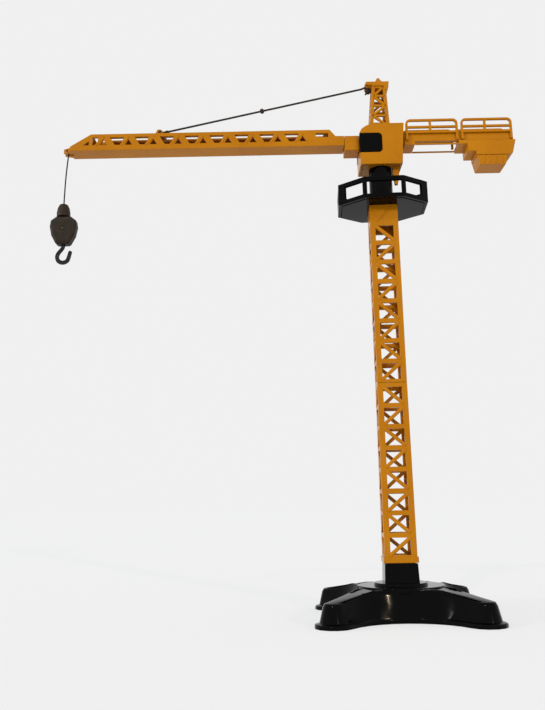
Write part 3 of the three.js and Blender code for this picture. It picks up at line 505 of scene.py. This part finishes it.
def add_jib_rods():
    """Rods along the jib's forward-leaning braces, on both side walls."""
    made = bmesh.new()
    half = JIB_WIDTH / 2
    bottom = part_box("jib")[0][2] / MM
    low, high = bottom + JIB_WINDOW[0], bottom + JIB_WINDOW[1]
    for k in range(JIB_BAYS + 1):
        x = FIRST_TRIANGLE + k * BAY_PITCH
        for side in (-1, 1):
            out = REST_SLEW @ Vector((0, side, 0))
            foot = upper_point(x - 6.2, low - 0.3, side * half)
            head = upper_point(x + 0.5, high + 0.4, side * half)
            add_rod(made, foot, head, out, half=1.0 * MM, proud=0.45 * MM, deep=1.5 * MM)
    finish_rods("jib_rods", made, "crown")


# corners of a box, counted by X, then Y, then Z
BOX_FACES = ((0, 1, 3, 2), (4, 6, 7, 5), (0, 2, 6, 4), (1, 5, 7, 3), (0, 4, 5, 1), (2, 3, 7, 6))


def add_jib_top():
    """The jib's top: a thin plate let in between the side walls, with a slot over each bay."""
    wall, thick, slot_half = 1.8, 1.1, 2.2
    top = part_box("jib")[0][2] / MM + JIB_HEIGHT
    half = JIB_WIDTH / 2 - wall
    start, end = FIRST_TRIANGLE + 1.5, FIRST_TRIANGLE + JIB_BAYS * BAY_PITCH + 21.5
    spans = []  # stretches along the jib, each with or without a slot
    at = start
    for k in range(JIB_BAYS + 1):
        first = FIRST_TRIANGLE + k * BAY_PITCH + 3.2
        last = min(first + BAY_PITCH - 6.4, end - 2)
        spans += [(at, first, False), (first, last, True)]
        at = last
    spans.append((at, end, False))
    made = bmesh.new()
    for x0, x1, slotted in spans:
        strips = [(-half, -slot_half), (slot_half, half)] if slotted else [(-half, half)]
        for y0, y1 in strips:
            corners = [made.verts.new(upper_point(x, z, y)) for x in (x0, x1) for y in (y0, y1)
                       for z in (top - 0.5 - thick, top - 0.5)]
            for quad in BOX_FACES:
                made.faces.new([corners[i] for i in quad])
    bmesh.ops.recalc_face_normals(made, faces=made.faces)
    link_mesh("jib_top", made, YELLOW, "crown")


add_mast_rods("mast_upper", length=142.7, top_band=18.1, foot_band=2.4, flare=0)
add_mast_rods("mast_lower", length=130.7, top_band=3.2, foot_band=5.3, flare=MAST_FLARE)
add_jib_rods()
add_jib_top()


# ---------- tower head ----------

HEAD_BASE = {"left": -7.6, "right": 8.6, "deep": 8.0}
HEAD_TIP = {"left": -4.4, "right": 7.1, "deep": 6.0}
HEAD_PANELS = 4
HEAD_CHORD, HEAD_BRACE, HEAD_TIE = 1.35, 0.95, 0.9  # half-widths
HEAD_WALL = 1.6
IN_CAP = 5.5  # how far the lattice reaches up into the cap's place
CAP_GAP = 0.3
CAP = {"left": -4.6, "right": 9.8, "half": 6.6, "thick": 3.8, "height": 9.2}


def add_bar(made, a, b, out, half, deep):
    """A square-edged bar from a to b, with its outer face on the plane whose normal is out."""
    across = (b - a).normalized().cross(out) * half
    ends = [[made.verts.new(p) for p in (at - across, at + across, at + across - out * deep,
                                         at - across - out * deep)] for at in (a, b)]
    skin_rings(made, ends)


def add_prism(made, outline, low, high):
    """An outline in X and Z, drawn out along Y from low to high."""
    skin_rings(made, [[made.verts.new(upper_point(x, z, y)) for x, z in outline]
                      for y in (low, high)])


def finish_moulding(name, made, node, radius):
    """Rounds a piece's edges and puts it in a CAD node's place."""
    bmesh.ops.recalc_face_normals(made, faces=made.faces)
    rounded(made, list(made.edges), radius)
    for face in made.faces:
        face.smooth = True
    piece = link_mesh(name, made, YELLOW, "crown")
    piece.data.set_sharp_from_angle(angle=SHADED_SHARP)
    piece.modifiers.new("even", "WEIGHTED_NORMAL").keep_sharp = True
    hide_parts(node)


def add_tower_head(foot, tip, top):
    """Tapered lattice up into the cap; tip is where the width reaches HEAD_TIP's."""

    def corner(side, face, z):
        t = (z - foot) / (tip - foot)
        x, deep = (HEAD_BASE[k] + (HEAD_TIP[k] - HEAD_BASE[k]) * t for k in (side, "deep"))
        return upper_point(x, z, face * deep)

    made = bmesh.new()
    pitch = (top - foot) / HEAD_PANELS
    # each wall's two corners, and the way its topmost brace leans
    walls = [(("left", -1), ("right", -1), 1), (("right", -1), ("right", 1), -1),
             (("right", 1), ("left", 1), 1), (("left", 1), ("left", -1), -1)]
    for first, second, lean in walls:
        a0, b0, a1 = corner(*first, foot), corner(*second, foot), corner(*first, top)
        out = (b0 - a0).cross(a1 - a0).normalized()

        def at(share, z):
            a, b = corner(*first, z), corner(*second, z)
            return a.lerp(b, share)

        for share in (0.09, 0.91):
            add_bar(made, at(share, foot), at(share, top), out, HEAD_CHORD * MM, HEAD_WALL * MM)
        for k in range(HEAD_PANELS + 1):
            inward = HEAD_TIE if k == 0 else -HEAD_TIE if k == HEAD_PANELS else 0
            z = foot + k * pitch + inward
            add_bar(made, at(0.04, z), at(0.96, z), out, HEAD_TIE * MM, HEAD_WALL * MM)
        for k in range(HEAD_PANELS):
            low, high = top - (k + 1) * pitch, top - k * pitch
            s = lean if k % 2 == 0 else -lean
            add_bar(made, at(0.5 - 0.4 * s, low), at(0.5 + 0.4 * s, high), out,
                    HEAD_BRACE * MM, (HEAD_WALL - 0.1) * MM)
    finish_moulding("head_lattice", made, "tower_head", 0.25 * MM)


def add_head_cap(bottom):
    """A plate with a lobe at the back, two ears and two cheeks round the guy's pin, and a peak."""
    left, right, top = CAP["left"], CAP["right"], bottom + CAP["height"] - CAP_GAP
    under = top - CAP["thick"]
    made = bmesh.new()
    plate = [(left, under), (right - 4.6, under), (right - 4.0, top - 7.2),
             (right - 2.2, top - 7.6), (right - 0.6, top - 5.8), (right, top), (left, top)]
    add_prism(made, plate, -CAP["half"], CAP["half"])
    pin_x, pin_z = left - 3.2, top - 0.9
    ear = [(left + 1, top - 3.4), (pin_x - 0.2, pin_z - 2.2), (pin_x - 1.9, pin_z - 0.9),
           (pin_x - 1.9, pin_z + 0.6), (pin_x - 0.9, pin_z + 1.9), (left + 1, pin_z + 1.9)]
    cheek = [(left + 1, top - 2.8), (left - 3.6, top - 2.8), (left - 4.8, top - 0.8),
             (left - 4.4, top), (left + 1, top)]
    for side in (-1, 1):
        for outline, inner, outer in ((ear, 1.6, 3.0), (cheek, 4.9, CAP["half"])):
            add_prism(made, outline, *sorted((side * inner, side * outer)))
    middle = (left + right) / 2 - 0.8
    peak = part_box("head_cap")[1][2] / MM
    rings = [[made.verts.new(upper_point(middle + sx * half, z, sy * half * 1.2))
              for sx, sy in ((1, 1), (-1, 1), (-1, -1), (1, -1))]
             for half, z in ((3.9, top - 0.4), (2.9, top + 1.5), (0.8, peak))]
    skin_rings(made, rings)
    finish_moulding("head_cap_moulding", made, "head_cap", 0.35 * MM)


head_low, head_high = (v[2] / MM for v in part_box("tower_head"))
add_tower_head(head_low, head_high, head_high + IN_CAP)
add_head_cap(head_high + CAP_GAP)


# ---------- floor, light and world ----------

PALE = 0.871  # the background's tone, linear
SKY = 0.6  # the world's light on surfaces
BOUNCE = 0.9  # how much of its light the table gives back
SHADOWED = 0.40  # the share of the table's seen tone that takes shadows
GLOW = {"Color": (0.97, 0.985, 1, 1), "Strength": 0.58}  # and the share that doesn't
FLOOR_HALF = 40.0
TARGET = Vector((-0.03, 0.0, 0.24))


def seen_directly(tree):
    """1 for rays from the camera, a mirror-like reflection or clear glass."""
    path = tree.nodes.new("ShaderNodeLightPath")
    total = path.outputs["Is Camera Ray"]
    for name in ("Is Glossy Ray", "Is Transmission Ray"):
        add = tree.nodes.new("ShaderNodeMath")
        add.operation = "MAXIMUM"
        tree.links.new(total, add.inputs[0])
        tree.links.new(path.outputs[name], add.inputs[1])
        total = add.outputs[0]
    return total


def add_floor():
    made = bmesh.new()
    made.faces.new([made.verts.new((x * FLOOR_HALF, y * FLOOR_HALF, 0))
                    for x, y in ((-1, -1), (1, -1), (1, 1), (-1, 1))])
    mesh = bpy.data.meshes.new("floor")
    made.to_mesh(mesh)
    made.free()
    floor = bpy.data.objects.new("floor", mesh)
    bpy.context.scene.collection.objects.link(floor)
    g = Graph("floor_pale")
    plain = g.set(Base_Color=colour(*3 * [BOUNCE]), Roughness=1.0, Specular_IOR_Level=0.0)
    lit = g.node("BsdfDiffuse", {"Color": colour(*3 * [SHADOWED])})
    glow = g.node("Emission", GLOW)
    both = g.node("AddShader", {0: lit.outputs[0], 1: glow.outputs[0]})
    mix = g.node("MixShader", {0: seen_directly(g.tree), 1: g.shader.outputs[0],
                               2: both.outputs[0]})
    g.tree.links.new(mix.outputs[0], g.tree.nodes["Material Output"].inputs["Surface"])
    dress(floor, plain)


def aimed(name, data, at, target):
    lamp = bpy.data.objects.new(name, data)
    bpy.context.scene.collection.objects.link(lamp)
    lamp.location = at
    lamp.rotation_euler = (target - Vector(at)).to_track_quat("-Z", "Y").to_euler()


def add_sun(name, at, strength, spread, tint):
    data = bpy.data.lights.new(name, "SUN")
    data.energy = strength
    data.angle = math.radians(spread)
    data.color = tint
    aimed(name, data, at, TARGET)


def add_world():
    world = bpy.data.worlds.new("studio")
    bpy.context.scene.world = world
    world.use_nodes = True
    tree = world.node_tree
    background = tree.nodes["Background"]
    strength = tree.nodes.new("ShaderNodeMapRange")
    strength.inputs[3].default_value = SKY
    strength.inputs[4].default_value = PALE
    tree.links.new(seen_directly(tree), strength.inputs[0])
    tree.links.new(strength.outputs[0], background.inputs["Strength"])
    background.inputs["Color"].default_value = (1, 1, 1, 1)


add_floor()
add_world()
add_sun("key", (-1.5, -0.95, 0.55), 1.1, 4, (1.0, 0.98, 0.95))
add_sun("warm", (0.75, -1.2, 0.66), 0.6, 2, (1.0, 0.80, 0.55))
add_sun("lamp", (-0.25, -0.6, 0.72), 0.3, 2, (1.0, 0.95, 0.85))
bpy.context.scene.view_settings.view_transform = "Standard"
